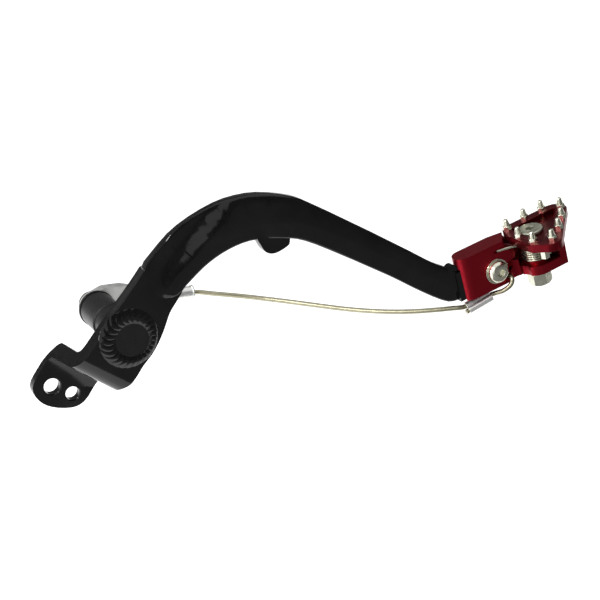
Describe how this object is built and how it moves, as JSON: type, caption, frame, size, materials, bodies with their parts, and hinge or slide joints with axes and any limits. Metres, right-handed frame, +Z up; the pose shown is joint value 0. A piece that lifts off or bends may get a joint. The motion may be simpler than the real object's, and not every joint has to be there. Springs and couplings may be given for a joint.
{
  "type": "rear brake pedal",
  "caption": "Off-road motorbike rear brake pedal: black curved arm on a welded pivot shaft, red folding tip with grip studs, guard rope from pivot to tip.",
  "frame": {"origin": "middle of the pivot journal, on the pivot axis", "axes": "+Y along the pivot axis towards the bike, +X forward along the arm, +Z up"},
  "size_m": [0.343, 0.1463, 0.1259],
  "materials": {
    "arm_paint": "gloss",
    "seal_rubber": "matt",
    "black_steel": "satin",
    "eye_steel": "satin",
    "rope_steel": "satin",
    "sleeve_alloy": "satin",
    "red_alloy": "anodised, satin",
    "screw_steel": "polished",
    "spring_steel": "satin",
    "pin_brass": "dull"
  },
  "bodies": {
    "pedal": {"lever_arm": "arm_paint", "pivot_shaft": "black_steel", "weld_bead": "arm_paint", "shaft_o_ring": "seal_rubber", "rear_o_ring": "seal_rubber", "end_washer": "black_steel", "snake_eye": "eye_steel", "pivot_bolt": "black_steel", "snake_cable": "rope_steel", "cable_collar": "eye_steel", "crimp_sleeve": "sleeve_alloy", "tip_holder": "red_alloy", "holder_screw": "screw_steel", "holder_washer": "screw_steel", "holder_nut": "screw_steel", "hinge_bolt": "screw_steel", "hinge_washer": "screw_steel", "hinge_nut": "screw_steel", "hinge_sleeve": "spring_steel", "torsion_spring": "spring_steel"},
    "folding_tip": {"tip_plate": "red_alloy", "tip_studs": "screw_steel", "spring_anchor_screw": "screw_steel", "stop_pin": "pin_brass"}
  },
  "joints": [
    {"name": "tip_fold", "type": "hinge", "parent": "pedal", "child": "folding_tip", "pos_m": [0.2518, -0.0835, -0.04], "axis": [0, 0, -1], "range_deg": [0, 35], "stiffness_Nm_per_rad": 0.6, "springref_deg": -28.65, "deforming": ["torsion_spring"]}
  ]
}
